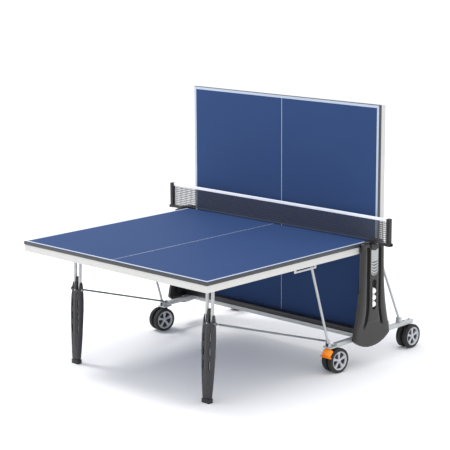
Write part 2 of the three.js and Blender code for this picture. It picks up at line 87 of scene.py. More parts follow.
# ---- tools ----
def linear(code):
    """A hex sRGB colour as linear RGBA."""
    parts = [int(code[i:i + 2], 16) / 255 for i in (0, 2, 4)]
    return tuple(c / 12.92 if c <= 0.04045 else ((c + 0.055) / 1.055) ** 2.4
                 for c in parts) + (1.0,)


def node(tree, kind, links=(), values=(), **settings):
    """Adds a node, sets its properties and input values, and links its inputs."""
    made = tree.nodes.new(kind)
    for key, value in settings.items():
        setattr(made, key, value)
    for key, value in dict(values).items():
        made.inputs[key].default_value = value
    for key, socket in dict(links).items():
        tree.links.new(socket, made.inputs[key])
    return made


def new_material(name, **inputs):
    """A material with its Principled shader; inputs are constants on the shader's own sockets."""
    made = bpy.data.materials.new(name)
    made.use_nodes = True
    shader = made.node_tree.nodes["Principled BSDF"]
    for key, value in inputs.items():
        shader.inputs[key.replace("_", " ")].default_value = value
    return made, made.node_tree, shader


def link_object(name, mesh):
    """A mesh as an object in the scene."""
    made = bpy.data.objects.new(name, mesh)
    scene.collection.objects.link(made)
    return made


def finish_mesh(name, bm, material, sharp=32):
    """A mesh object at the origin: doubles merged, normals out, smooth but for its sharp edges."""
    bmesh.ops.remove_doubles(bm, verts=bm.verts, dist=2e-6)
    bmesh.ops.recalc_face_normals(bm, faces=bm.faces)
    mesh = bpy.data.meshes.new(name)
    bm.to_mesh(mesh)
    bm.free()
    for one in material if isinstance(material, (list, tuple)) else [material]:
        mesh.materials.append(one)
    mesh.shade_smooth()
    mesh.set_sharp_from_angle(angle=math.radians(sharp))
    return link_object(name, mesh)


def apply_modifiers(obj, sharp=32):
    """Turns the evaluated object into a plain mesh."""
    graph = bpy.context.evaluated_depsgraph_get()
    mesh = bpy.data.meshes.new_from_object(obj.evaluated_get(graph))
    obj.modifiers.clear()
    obj.data = mesh
    mesh.shade_smooth()
    mesh.set_sharp_from_angle(angle=math.radians(sharp))
    return obj


def carve(obj, *cutters):
    """Cuts closed cutter objects out of a closed object and removes them."""
    for cutter in cutters:
        step = obj.modifiers.new("cut", "BOOLEAN")
        step.operation = "DIFFERENCE"
        step.solver = "EXACT"
        step.object = cutter
        step.material_mode = "TRANSFER"
    apply_modifiers(obj)
    for cutter in cutters:
        bpy.data.objects.remove(cutter)
    return obj


def fit(obj, body, *replaced):
    """The piece rides on its body and stands for its CAD nodes."""
    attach(obj, body)
    if replaced:
        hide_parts(*replaced)
    return obj


def body_with(name):
    """The body that holds a CAD node."""
    return next(b for b, held in frame["record"]["behaviour"]["bodies"].items() if name in held)


def joint(name):
    """A joint of the frame by its name."""
    return next(j for j in frame["joints"] if j["name"] == name)


def add_box(bm, low, high):
    """A box between two corners; returns its vertices."""
    size = [b - a for a, b in zip(low, high)]
    middle = [(a + b) / 2 for a, b in zip(low, high)]
    place = Matrix.Translation(middle) @ Matrix.Diagonal((*size, 1))
    return bmesh.ops.create_cube(bm, size=1, matrix=place)["verts"]


def round_box(bm, low, high, radius, steps=3):
    """A box with rounded edges."""
    made = add_box(bm, low, high)
    edges = {e for v in made for e in v.link_edges}
    bmesh.ops.bevel(bm, geom=list(edges), offset=radius, segments=steps, profile=0.5,
                    affect="EDGES", clamp_overlap=True)


def add_prism(bm, outline, place, depth):
    """A prism of an outline of (a, b) pairs; place maps (a, b, depth) to a point."""
    rings = [[bm.verts.new(place(a, b, d)) for a, b in outline] for d in (0, depth)]
    bm.faces.new(rings[0])
    bm.faces.new(rings[1][::-1])
    count = len(outline)
    for i in range(count):
        k = (i + 1) % count
        bm.faces.new((rings[0][k], rings[0][i], rings[1][i], rings[1][k]))


def add_loft(bm, rings):
    """Closed rings of vertices joined one to the next, with a face over each end."""
    count = len(rings[0])
    for low, high in zip(rings, rings[1:]):
        for i in range(count):
            k = (i + 1) % count
            bm.faces.new((low[i], low[k], high[k], high[i]))
    bm.faces.new(rings[0])
    bm.faces.new(rings[-1][::-1])


def add_lathe(bm, profile, place, sides=48):
    """A ring turned about an axis; profile is closed (radius, along) pairs."""
    rings = []
    for i in range(sides):
        turn = 2 * math.pi * i / sides
        rings.append([bm.verts.new(place(r * math.cos(turn), r * math.sin(turn), a))
                      for r, a in profile])
    for i in range(sides):
        here, there = rings[i], rings[(i + 1) % sides]
        for k in range(len(profile)):
            m = (k + 1) % len(profile)
            bm.faces.new((here[k], here[m], there[m], there[k]))


def add_bar(bm, start, end, radius, sides=20, edge=0.6 * MM):
    """A round bar with eased ends between two points."""
    start, end = Vector(start), Vector(end)
    along = end - start
    turn = along.to_track_quat("Z", "Y").to_matrix().to_4x4()
    rings = []
    for r, at in ((radius - edge, 0), (radius, edge), (radius, along.length - edge),
                  (radius - edge, along.length)):
        place = Matrix.Translation(start) @ turn
        rings.append([bm.verts.new(place @ Vector((r * math.cos(2 * math.pi * i / sides),
                                                   r * math.sin(2 * math.pi * i / sides), at)))
                      for i in range(sides)])
    add_loft(bm, rings)


def ease(value, low, high):
    """Smooth step from 0 at low to 1 at high."""
    t = min(1.0, max(0.0, (value - low) / (high - low)))
    return t * t * (3 - 2 * t)


# ---- camera ----
def place_camera():
    """Long lens from the right of the level half, a little above the top."""
    yaw, rise, roll = math.radians(43.588), math.radians(11.993), math.radians(-0.29)
    back = Vector((math.sin(yaw) * math.cos(rise), -math.cos(yaw) * math.cos(rise), math.sin(rise)))
    right = (-back).cross(Vector((0, 0, 1))).normalized()
    up = right.cross(-back)
    turned = right * math.cos(roll) + up * math.sin(roll)
    upright = up * math.cos(roll) - right * math.sin(roll)
    data = bpy.data.cameras.new("camera")
    data.sensor_width = 36
    data.lens = 119.92
    data.shift_x, data.shift_y = -0.0165, 0.0165
    data.clip_end = 100
    made = bpy.data.objects.new("camera", data)
    made.matrix_world = Matrix.Translation((6.13598, -6.82169 + NET_Y, 2.65289)) @ Matrix(
        (turned, upright, back)).transposed().to_4x4()
    scene.collection.objects.link(made)
    scene.camera = made


place_camera()


# ---- geometry node trees ----
def new_tree(name, inputs):
    """A tree with one geometry output and named inputs; returns it with its input node."""
    tree = bpy.data.node_groups.new(name, "GeometryNodeTree")
    tree.interface.new_socket("Geometry", in_out="OUTPUT", socket_type="NodeSocketGeometry")
    for label, kind in inputs:
        tree.interface.new_socket(label, in_out="INPUT", socket_type="NodeSocket" + kind)
    return tree, node(tree, "NodeGroupInput")


def close_tree(tree, given, geometry):
    """Realizes the instances, sets the material and ends the tree."""
    real = node(tree, "GeometryNodeRealizeInstances", {"Geometry": geometry})
    painted = node(tree, "GeometryNodeSetMaterial",
                   {"Geometry": real.outputs[0], "Material": given.outputs["Material"]})
    node(tree, "NodeGroupOutput", {"Geometry": painted.outputs[0]})
    return tree


def grow(name, tree, values, sharp=32):
    """Runs a tree with its inputs set and returns the result as a plain mesh object."""
    made = link_object(name, bpy.data.meshes.new(name))
    step = made.modifiers.new("grow", "NODES")
    step.node_group = tree
    for socket in tree.interface.items_tree:
        if socket.in_out == "INPUT":
            step[socket.identifier] = values[socket.name]
    return apply_modifiers(made, sharp)


def netting_tree():
    """Upright and level threads of a stretched net, one cell apart."""
    tree, given = new_tree("netting", [
        ("Corner", "Vector"), ("Width", "Float"), ("Height", "Float"), ("Cell", "Float"),
        ("Thread", "Float"), ("Material", "Material")])
    across, up = given.outputs["Width"], given.outputs["Height"]
    thread, cell = given.outputs["Thread"], given.outputs["Cell"]
    rows = []
    for length, span, along in ((up, across, "X"), (across, up, "Z")):
        count = node(tree, "ShaderNodeMath", {0: span, 1: cell}, operation="DIVIDE")
        whole = node(tree, "ShaderNodeMath", {0: count.outputs[0]}, operation="ROUND")
        more = node(tree, "ShaderNodeMath", {0: whole.outputs[0]}, {1: 1.0}, operation="ADD")
        end = node(tree, "ShaderNodeCombineXYZ", {along: span})
        line = node(tree, "GeometryNodeMeshLine",
                    {"Count": more.outputs[0], "Offset": end.outputs[0]}, mode="END_POINTS")
        other = "Z" if along == "X" else "X"
        size = node(tree, "ShaderNodeCombineXYZ", {along: thread, "Y": thread, other: length})
        bar = node(tree, "GeometryNodeMeshCube", {"Size": size.outputs[0]})
        half = node(tree, "ShaderNodeMath", {0: length}, {1: 0.5}, operation="MULTIPLY")
        shift = node(tree, "ShaderNodeCombineXYZ", {other: half.outputs[0]})
        placed = node(tree, "GeometryNodeTransform",
                      {"Geometry": bar.outputs["Mesh"], "Translation": shift.outputs[0]})
        rows.append(node(tree, "GeometryNodeInstanceOnPoints",
                         {"Points": line.outputs[0], "Instance": placed.outputs[0]}))
    both = node(tree, "GeometryNodeJoinGeometry")
    for row in rows:
        tree.links.new(row.outputs[0], both.inputs[0])
    moved = node(tree, "GeometryNodeTransform",
                 {"Geometry": both.outputs[0], "Translation": given.outputs["Corner"]})
    return close_tree(tree, given, moved.outputs[0])


def ring_tree():
    """Copies of one shape round the X axis."""
    tree, given = new_tree("ring of copies", [("Shape", "Object"), ("Count", "Int"),
                                              ("Material", "Material")])
    line = node(tree, "GeometryNodeMeshLine", {"Count": given.outputs["Count"]},
                {"Offset": (0, 0, 0)})
    index = node(tree, "GeometryNodeInputIndex")
    share = node(tree, "ShaderNodeMath", {0: index.outputs[0], 1: given.outputs["Count"]},
                 operation="DIVIDE")
    angle = node(tree, "ShaderNodeMath", {0: share.outputs[0]}, {1: 2 * math.pi},
                 operation="MULTIPLY")
    turn = node(tree, "ShaderNodeCombineXYZ", {"X": angle.outputs[0]})
    shape = node(tree, "GeometryNodeObjectInfo", {"Object": given.outputs["Shape"]})
    copies = node(tree, "GeometryNodeInstanceOnPoints",
                  {"Points": line.outputs[0], "Instance": shape.outputs["Geometry"],
                   "Rotation": turn.outputs[0]})
    return close_tree(tree, given, copies.outputs[0])


def spots_tree():
    """Copies of one shape at the points of a carrier mesh."""
    tree, given = new_tree("copies at points", [("Points", "Object"), ("Shape", "Object"),
                                                ("Material", "Material")])
    points = node(tree, "GeometryNodeObjectInfo", {"Object": given.outputs["Points"]})
    shape = node(tree, "GeometryNodeObjectInfo", {"Object": given.outputs["Shape"]})
    copies = node(tree, "GeometryNodeInstanceOnPoints",
                  {"Points": points.outputs["Geometry"], "Instance": shape.outputs["Geometry"]})
    return close_tree(tree, given, copies.outputs[0])


NETTING, RING, SPOTS = netting_tree(), ring_tree(), spots_tree()


def at_points(name, points, shape, material):
    """One mesh of copies of a shape at a list of points."""
    carrier = bpy.data.meshes.new("points")
    carrier.from_pydata([tuple(p) for p in points], [], [])
    holder = link_object("points", carrier)
    made = grow(name, SPOTS, {"Points": holder, "Shape": shape, "Material": material})
    bpy.data.objects.remove(holder)
    return made


# ---- materials ----
def board_laminate():
    """Blue lacquered laminate: matt, with a fine even tooth that breaks up the shine."""
    made, tree, shader = new_material("blue lacquered laminate", Specular_IOR_Level=0.05)
    place = node(tree, "ShaderNodeTexCoord").outputs["Object"]
    cloud = node(tree, "ShaderNodeTexNoise", {"Vector": place}, {"Scale": 3.0, "Detail": 2.0})
    tooth = node(tree, "ShaderNodeTexNoise", {"Vector": place}, {"Scale": 420.0, "Detail": 3.0})
    tint = node(tree, "ShaderNodeMixRGB", {"Fac": cloud.outputs[0]},
                {"Color1": linear("2c4068"), "Color2": linear("31466f")})
    speck = node(tree, "ShaderNodeMixRGB", {"Fac": tooth.outputs[0], "Color1": tint.outputs[0]},
                 {"Color2": linear("344a74")})
    tree.links.new(speck.outputs[0], shader.inputs["Base Color"])
    dull = node(tree, "ShaderNodeMapRange", {"Value": tooth.outputs[0]},
                {"To Min": 0.56, "To Max": 0.68})
    tree.links.new(dull.outputs[0], shader.inputs["Roughness"])
    bump = node(tree, "ShaderNodeBump", {"Height": tooth.outputs[0]},
                {"Strength": 0.12, "Distance": 0.0004})
    tree.links.new(bump.outputs[0], shader.inputs["Normal"])
    return made


def line_lacquer():
    """White line lacquer printed on the laminate: slightly bluish, worn a little at random."""
    made, tree, shader = new_material("white line lacquer", Roughness=0.5)
    place = node(tree, "ShaderNodeTexCoord").outputs["Object"]
    wear = node(tree, "ShaderNodeTexNoise", {"Vector": place}, {"Scale": 160.0, "Detail": 4.0})
    tint = node(tree, "ShaderNodeMixRGB", {"Fac": wear.outputs[0]},
                {"Color1": linear("a9b5c6"), "Color2": linear("b9c4d2")})
    tree.links.new(tint.outputs[0], shader.inputs["Base Color"])
    return made


def powder_coat(name, dark, light, roughness, metallic=0.0):
    """Powder-coated steel: an orange-peel skin of about 1.5 mm that softens its highlights."""
    made, tree, shader = new_material(name, Metallic=metallic)
    place = node(tree, "ShaderNodeTexCoord").outputs["Object"]
    peel = node(tree, "ShaderNodeTexNoise", {"Vector": place}, {"Scale": 650.0, "Detail": 2.0})
    cloud = node(tree, "ShaderNodeTexNoise", {"Vector": place}, {"Scale": 14.0, "Detail": 3.0})
    tint = node(tree, "ShaderNodeMixRGB", {"Fac": cloud.outputs[0]},
                {"Color1": linear(dark), "Color2": linear(light)})
    tree.links.new(tint.outputs[0], shader.inputs["Base Color"])
    dull = node(tree, "ShaderNodeMapRange", {"Value": cloud.outputs[0]},
                {"To Min": roughness - 0.05, "To Max": roughness + 0.06})
    tree.links.new(dull.outputs[0], shader.inputs["Roughness"])
    bump = node(tree, "ShaderNodeBump", {"Height": peel.outputs[0]},
                {"Strength": 0.18, "Distance": 0.0003})
    tree.links.new(bump.outputs[0], shader.inputs["Normal"])
    return made


def moulded(name, dark, light, roughness, grain=900.0, depth=0.0004):
    """Injection-moulded plastic: spark-eroded grain, coarser than life so that it shows."""
    made, tree, shader = new_material(name, IOR=1.5)
    place = node(tree, "ShaderNodeTexCoord").outputs["Object"]
    pits = node(tree, "ShaderNodeTexNoise", {"Vector": place}, {"Scale": grain, "Detail": 4.0})
    cloud = node(tree, "ShaderNodeTexNoise", {"Vector": place}, {"Scale": 18.0, "Detail": 2.0})
    mixed = node(tree, "ShaderNodeMath", {0: pits.outputs[0], 1: cloud.outputs[0]},
                 operation="MULTIPLY")
    tint = node(tree, "ShaderNodeMixRGB", {"Fac": mixed.outputs[0]},
                {"Color1": linear(dark), "Color2": linear(light)})
    tree.links.new(tint.outputs[0], shader.inputs["Base Color"])
    dull = node(tree, "ShaderNodeMapRange", {"Value": pits.outputs[0]},
                {"To Min": roughness - 0.07, "To Max": roughness + 0.1})
    tree.links.new(dull.outputs[0], shader.inputs["Roughness"])
    bump = node(tree, "ShaderNodeBump", {"Height": pits.outputs[0]},
                {"Strength": 0.3, "Distance": depth})
    tree.links.new(bump.outputs[0], shader.inputs["Normal"])
    return made


def net_yarn():
    """Twisted polyester yarn, dark and dull, with the twist as fine slanting bands."""
    made, tree, shader = new_material("dark net yarn", Roughness=0.85, Sheen_Weight=0.2)
    place = node(tree, "ShaderNodeTexCoord").outputs["Object"]
    turned = node(tree, "ShaderNodeMapping", {"Vector": place}, {"Rotation": (0, 0.8, 0)})
    twist = node(tree, "ShaderNodeTexWave", {"Vector": turned.outputs[0]},
                 {"Scale": 260.0, "Distortion": 1.0})
    tint = node(tree, "ShaderNodeMixRGB", {"Fac": twist.outputs[0]},
                {"Color1": linear("2c2e36"), "Color2": linear("3c3e48")})
    tree.links.new(tint.outputs[0], shader.inputs["Base Color"])
    bump = node(tree, "ShaderNodeBump", {"Height": twist.outputs[0]},
                {"Strength": 0.4, "Distance": 0.0003})
    tree.links.new(bump.outputs[0], shader.inputs["Normal"])
    return made


def woven_tape():
    """White woven polyester tape: a plain weave with 0.8 mm threads, drawn at 2 mm to show."""
    made, tree, shader = new_material("white woven tape", Roughness=0.8, Sheen_Weight=0.25)
    place = node(tree, "ShaderNodeTexCoord").outputs["Object"]
    warp = node(tree, "ShaderNodeTexWave", {"Vector": place}, {"Scale": 160.0},
                bands_direction="X")
    weft = node(tree, "ShaderNodeTexWave", {"Vector": place}, {"Scale": 160.0},
                bands_direction="Z")
    weave = node(tree, "ShaderNodeMath", {0: warp.outputs[1], 1: weft.outputs[1]},
                 operation="MULTIPLY")
    tint = node(tree, "ShaderNodeMixRGB", {"Fac": weave.outputs[0]},
                {"Color1": linear("e2e5ee"), "Color2": linear("f7f8fb")})
    tree.links.new(tint.outputs[0], shader.inputs["Base Color"])
    bump = node(tree, "ShaderNodeBump", {"Height": weave.outputs[0]},
                {"Strength": 0.35, "Distance": 0.0004})
    tree.links.new(bump.outputs[0], shader.inputs["Normal"])
    return made


# The playing face: deep blue and nearly without shine, so that it stays even at a low angle.
BLUE = board_laminate()
# Crisp pale lines that stand out from the blue without glare.
LINES = line_lacquer()
# A thin dark frame with a soft sheen along its rounded edge.
EDGE = powder_coat("charcoal edge profile", "35363a", "3f4044", 0.42)
# Warm off-white steel: the brightest broad band, with wide soft highlights.
APRON = powder_coat("off-white powder coat", "c4c4c0", "cececb", 0.42)
# Light grey tubes with a faint metallic lift along their length.
TUBE = powder_coat("silver-grey powder coat", "b2b5b5", "c1c4c3", 0.34, 0.2)
# Thin rods that read as dull mid-grey metal.
ROD = powder_coat("zinc-plated rod", "6d7172", "7e8284", 0.35, 0.5)
# Black steel that falls into shadow behind the towers.
PLATE = powder_coat("black powder coat", "0d0d0e", "151516", 0.5)
# Dark brownish plastic with the glossiest highlights of the mouldings.
TOWER = moulded("tower ABS, semi-gloss", "1b1918", "262422", 0.25, 700.0, 0.00025)
# Dark grey, slightly waxy plastic with a visible grain.
SHELL = moulded("leg shell polypropylene", "262629", "323236", 0.4)
# Painted shade: the walls and floor of the tower's grooves, and the insides cut for the ball channel, slot and
# mouth, are made black and dull where shade falls.
GROOVE_SHADE = moulded("black ABS, painted groove shade", "080808", "0e0e0e", 0.55)
# Brownish grey, smoother and lighter than the tower it sits on.
CLAMP = moulded("clamp ABS, smooth", "4b4642", "565049", 0.3, 700.0, 0.0002)
# Matt black fittings that show only their edges.
FITTING = moulded("black nylon fitting", "19191a", "242426", 0.5)
# Matt dark posts and arms that frame the net.
NET_FRAME = moulded("net post ABS", "1d1c1d", "282728", 0.42)
# Soft dark rubber, dusty rather than shiny.
TYRE = moulded("grey-black tyre rubber", "1c1c1c", "2b2b2a", 0.66, 500.0, 0.0005)
# Silver spokes, smooth enough to catch the lamps.
RIM = moulded("silver lacquered rim", "b4b6bd", "c6c8ce", 0.3, 900.0, 0.0001)
# The one strong colour, saturated and a little glossy.
ORANGE = moulded("orange nylon", "ff8a00", "ffa000", 0.34, 800.0, 0.0002)
# Clean white, matt, shaded softly round.
BALL = moulded("matt ball celluloid", "f2f2ef", "fbfbf9", 0.5, 500.0, 0.0001)
# A dark blue accent at the strut's foot.
NAVY = moulded("navy nylon bush", "1b2138", "232a44", 0.4)
# Pale grey that lifts the tower's inlay out of the dark panel.
PALE = moulded("pale grey inlay", "a7a9a9", "bcbebe", 0.42, 600.0, 0.0002)
# Small bright points with hard metallic highlights.
BOLT = powder_coat("zinc-plated bolt", "8f9499", "a9adb2", 0.32, 0.9)
# Dull dark threads that the blue shows through.
YARN = net_yarn()
# The white line along the top of the net, soft and slightly ribbed.
TAPE = woven_tape()


# ---- boards ----
def board(prefix):
    """A playing sheet whose face is cut along its lines, so that each line is its own faces."""
    low, high = (Vector(c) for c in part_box(prefix + "_board"))
    level = prefix == "near"
    half = high.x
    long_low, long_high = (low.y, high.y) if level else (low.z, high.z)
    cuts_x = [-half, -half + BOARD_LINE, -CENTRE_LINE / 2, CENTRE_LINE / 2, half - BOARD_LINE, half]
    if level:
        cuts_l = [long_low, long_low + BOARD_LINE, long_high]
        spot = lambda x, l, d: (x, l, high.z - d)
        deep = high.z - low.z
    else:
        cuts_l = [long_low, long_high - BOARD_LINE, long_high]
        spot = lambda x, l, d: (x, low.y + d, l)
        deep = high.y - low.y
    end_row = 0 if level else 1
    bm = bmesh.new()
    for i in range(5):
        for k in range(2):
            x0, x1, l0, l1 = cuts_x[i], cuts_x[i + 1], cuts_l[k], cuts_l[k + 1]
            face = bm.faces.new([bm.verts.new(spot(x, l, 0))
                                 for x, l in ((x0, l0), (x1, l0), (x1, l1), (x0, l1))])
            face.material_index = int(i in (0, 2, 4) or k == end_row)
            bm.faces.new([bm.verts.new(spot(x, l, deep))
                          for x, l in ((x0, l1), (x1, l1), (x1, l0), (x0, l0))])
    for a, b in zip(cuts_x, cuts_x[1:]):
        for l in (cuts_l[0], cuts_l[-1]):
            bm.faces.new([bm.verts.new(spot(*p)) for p in ((a, l, 0), (b, l, 0), (b, l, deep),
                                                         (a, l, deep))])
    for a, b in zip(cuts_l, cuts_l[1:]):
        for x in (-half, half):
            bm.faces.new([bm.verts.new(spot(*p)) for p in ((x, a, 0), (x, b, 0), (x, b, deep),
                                                         (x, a, deep))])
    made = finish_mesh(prefix + "_playing_sheet", bm, [BLUE, LINES])
    fit(made, prefix + "_half", prefix + "_board")


# ---- smoothed CAD pieces ----
def eased(name, material, radius, steps=2, sharp=32, limit=38):
    """A copy of a CAD node with its edges rounded and its facets shaded smooth."""
    source = nodes[name]
    bm = bmesh.new()
    bm.from_mesh(source.data)
    bmesh.ops.remove_doubles(bm, verts=bm.verts, dist=1e-5)
    bmesh.ops.dissolve_limit(bm, angle_limit=math.radians(1), verts=bm.verts, edges=bm.edges)
    made = finish_mesh(name + "_finished", bm, material, sharp)
    step = made.modifiers.new("ease", "BEVEL")
    step.width = radius
    step.segments = steps
    step.limit_method = "ANGLE"
    step.angle_limit = math.radians(limit)
    step.use_clamp_overlap = True
    step.harden_normals = False
    apply_modifiers(made, sharp)
    return fit(made, body_with(name), name)


# ---- side towers ----
def tower_half_width(z):
    """Half the width of a tower at a height, in millimetres."""
    rows = [(182, 168), (222, 160), (300, 140), (400, 120), (500, 109), (620, 104), (735, 101),
            (762, 90)]
    for (z0, w0), (z1, w1) in zip(rows, rows[1:]):
        if z <= z1:
            t = (z - z0) / (z1 - z0)
            return w0 + (w1 - w0) * t
    return rows[-1][1]


def tower_foot(y):
    """Height of the curved lower edge, in millimetres."""
    return 122 + 60 * (abs(y) / 168) ** 2.3


def tower_row(z, inset):
    """Half a cross-section from the middle outward: (y, x) in millimetres."""
    out = TOWER_OUT / MM - inset * 0.8
    w = tower_half_width(z) - inset
    groove = 54 + 36 * (max(0, 400 - z) / 165) ** 2
    g1, g2 = groove - 12, min(groove + 12, w - 24)
    panel = 4.6 * ease(z, 262, 286) * (1 - ease(z, 730, 746)) - inset * 0.2
    dip = 13 * ease(z, 236, 262) * (1 - ease(z, 722, 738))
    ridge = 2.6 * ease(z, 240, 300) * (1 - ease(z, 706, 730))
    floor = out - dip
    return [(0, out + panel), (g1 * 0.4, out + panel), (g1 * 0.75, out + panel * 0.97),
            (g1 - 4, out + panel * 0.9), (g1 - 1.4, out + panel * 0.6), (g1, out - dip * 0.25),
            (g1 + 1.6, floor + dip * 0.2), (g1 + 4, floor), ((g1 + g2) / 2, floor), (g2 - 4, floor),
            (g2 - 1.6, floor + dip * 0.25), (g2, out - dip * 0.2), (g2 + 2, out + ridge * 0.5),
            (g2 + 5, out + ridge * 0.9), ((g2 + w) / 2, out + ridge), (w - 11, out + ridge * 0.4),
            (w - 7, out - 1.2), (w - 3.5, out - 4), (w - 1.2, out - 7.5), (w, out - 12),
            (w, TOWER_IN / MM)]


def tower(side_name, side):
    """Hollow-looking side cover: middle panel, two deep grooves and rounded outer pillars."""
    skirt = [0, 0.12, 0.3, 0.6, 1]
    heights = [z for z in range(196, 757, 7)] + [757, 760, 762]
    rows = []
    for t in skirt[:-1]:
        half = tower_row(182, 6 * (1 - t) ** 2)
        rows.append([(y, tower_foot(y) + (182 - tower_foot(y)) * t, x) for y, x in half])
    for z in [182] + heights:
        inset = {757: 0.6, 760: 2.4, 762: 6}.get(z, 0)
        rows.append([(y, z, x) for y, x in tower_row(z, inset)])
    bm = bmesh.new()
    grid = []
    for row in rows:
        full = [(-y, z, x) for y, z, x in reversed(row[1:])] + row
        grid.append([bm.verts.new((side * x * MM, NET_Y + y * MM, z * MM)) for y, z, x in full])
    columns = len(grid[0])
    # columns of the two grooves, counted out from the middle on either side; their faces take the black material
    # that paints the shade in the grooves
    groove_shade_columns = [c for i in range(4, 11) for c in (columns // 2 + i, columns // 2 - i - 1)]
    for row, (low, high) in enumerate(zip(grid, grid[1:])):
        for i in range(columns - 1):
            face = bm.faces.new((low[i], low[i + 1], high[i + 1], high[i]))
            face.material_index = int(i in groove_shade_columns and 12 < row < len(grid) - 9)
    back = []
    for edge in (grid[0], grid[-1]):
        inner = [bm.verts.new((side * TOWER_IN, v.co.y, v.co.z)) for v in edge[1:-1]]
        line = [edge[0]] + inner + [edge[-1]]
        for i in range(len(edge) - 1):
            corners = [edge[i], edge[i + 1], line[i + 1], line[i]]
            bm.faces.new(list(dict.fromkeys(corners)))
        back.append(line)
    loop = back[0] + [row[-1] for row in grid[1:-1]] + back[1][::-1] + [
        row[0] for row in grid[-2:0:-1]]
    bm.faces.new(loop)
    bmesh.ops.triangulate(bm, faces=[f for f in bm.faces if len(f.verts) > 4])
    made = finish_mesh(side_name + "_tower", bm, [TOWER, GROOVE_SHADE], 40)
    place = lambda y, z, x: (side * x, NET_Y + y, z)
    channel = bmesh.new()
    add_box(channel, *sorted_corners(side * (TOWER_IN - 2 * MM), side * (PANEL_OUT - 3.4 * MM),
                                     NET_Y - CHANNEL_HALF, NET_Y + CHANNEL_HALF,
                                     CHANNEL_FLOOR, CHANNEL_ROOF))
    slot = bmesh.new()
    outline = []
    for i in range(33):
        turn = i * math.pi / 16
        centre = SLOT_HIGH if i <= 16 else SLOT_LOW
        outline.append((SLOT_HALF * math.cos(turn), centre + SLOT_HALF * math.sin(turn)))
    back_of_cut = TOWER_OUT - 6 * MM
    add_prism(slot, outline, lambda y, z, d: place(y, z, back_of_cut + d), 20 * MM)
    mouth = bmesh.new()
    add_bar(mouth, place(0, SLOT_HIGH, back_of_cut), place(0, SLOT_HIGH, PANEL_OUT + 5 * MM),
            MOUTH_R, 40)
    # the cutters carry the black material, so the insides of the cut channel, slot and mouth are painted shade
    carve(made, *[finish_mesh("cutter", one, GROOVE_SHADE) for one in (channel, slot, mouth)])
    fit(made, "chassis", side_name + "_tower_cover")
    tower_inlay(side_name, side)


def sorted_corners(x0, x1, y0, y1, z0, z1):
    """The low and high corners of a box given in any order."""
    return (min(x0, x1), min(y0, y1), min(z0, z1)), (max(x0, x1), max(y0, y1), max(z0, z1))


def tower_inlay(side_name, side):
    """A pale inlay above the ball mouth with dark curved bands, and lips beside the balls."""
    outline = [(32, 716), (32, 584)] + [
        (32 * math.cos(a), 584 - 26 * math.sin(a)) for a in [i * math.pi / 10 for i in range(1, 10)]
    ] + [(-32, 584), (-32, 716)]
    bm = bmesh.new()
    add_prism(bm, [(y * MM, z * MM) for y, z in outline],
              lambda y, z, d: (side * (PANEL_OUT - 0.6 * MM + d), NET_Y + y, z), 1.2 * MM)
    fit(finish_mesh(side_name + "_tower_inlay", bm, PALE), "chassis")
    bm = bmesh.new()
    for i in range(5):
        level, sag = 642 - 15 * i, 6 + 3.6 * i
        span = [-28 + 7 * k for k in range(9)]
        curve = [(y, level - sag * (1 - (y / 28) ** 2)) for y in span]
        band = curve + [(y, z + 6.5 - 0.09 * abs(y)) for y, z in reversed(curve)]
        add_prism(bm, [(y * MM, z * MM) for y, z in band],
                  lambda y, z, d: (side * (PANEL_OUT + 0.3 * MM + d), NET_Y + y, z), 0.9 * MM)
    fit(finish_mesh(side_name + "_inlay_bands", bm, TOWER), "chassis")
    bm = bmesh.new()
    for y0, y1 in ((-23, -18.8), (18.8, 21.4)):
        low, high = sorted_corners(side * (PANEL_OUT - 2 * MM), side * (PANEL_OUT + 2.6 * MM),
                                   NET_Y + y0 * MM, NET_Y + y1 * MM, LIP_LOW, LIP_HIGH)
        round_box(bm, low, high, 1.2 * MM)
    fit(finish_mesh(side_name + "_ball_lips", bm, CLAMP), "chassis")


# ---- net ----
def net():
    """Netting under a folded white tape, with a dark cord along its foot."""
    corner = (NET_LOW.x, NET_Y, NET_FOOT)
    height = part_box("net_tape")[0][2] - corner[2] + 2 * MM
    width = NET_HIGH.x - NET_LOW.x
    mesh = grow("netting", NETTING, {"Corner": corner, "Width": width, "Height": height,
                                     "Cell": NET_CELL, "Thread": NET_THREAD, "Material": YARN})
    fit(mesh, "chassis", "net")
    low, high = (Vector(c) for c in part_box("net_tape"))
    bm = bmesh.new()
    round_box(bm, (low.x, NET_Y - 2.4 * MM, low.z), (high.x, NET_Y + 2.4 * MM, high.z), 2.2 * MM, 4)
    tape = finish_mesh("net_top_tape", bm, TAPE)
    fit(tape, "chassis", "net_tape")
    stitch = bmesh.new()
    add_box(stitch, (-2.2 * MM, -2.9 * MM, -0.35 * MM), (2.2 * MM, 2.9 * MM, 0.35 * MM))
    shape = finish_mesh("stitch", stitch, TAPE)
    count = int(width / STITCH_PITCH)
    seam = at_points("tape_seam", [(low.x + (i + 0.5) * width / count, NET_Y, low.z + 3 * MM)
                                   for i in range(count)], shape, TAPE)
    bpy.data.objects.remove(shape)
    fit(seam, "chassis")
    cord = bmesh.new()
    add_bar(cord, (-CORD_END, NET_Y, CORD_Z), (CORD_END, NET_Y, CORD_Z), CORD_R, 12)
    foot = finish_mesh("net_foot_cord", cord, YARN)
    fit(foot, "chassis")


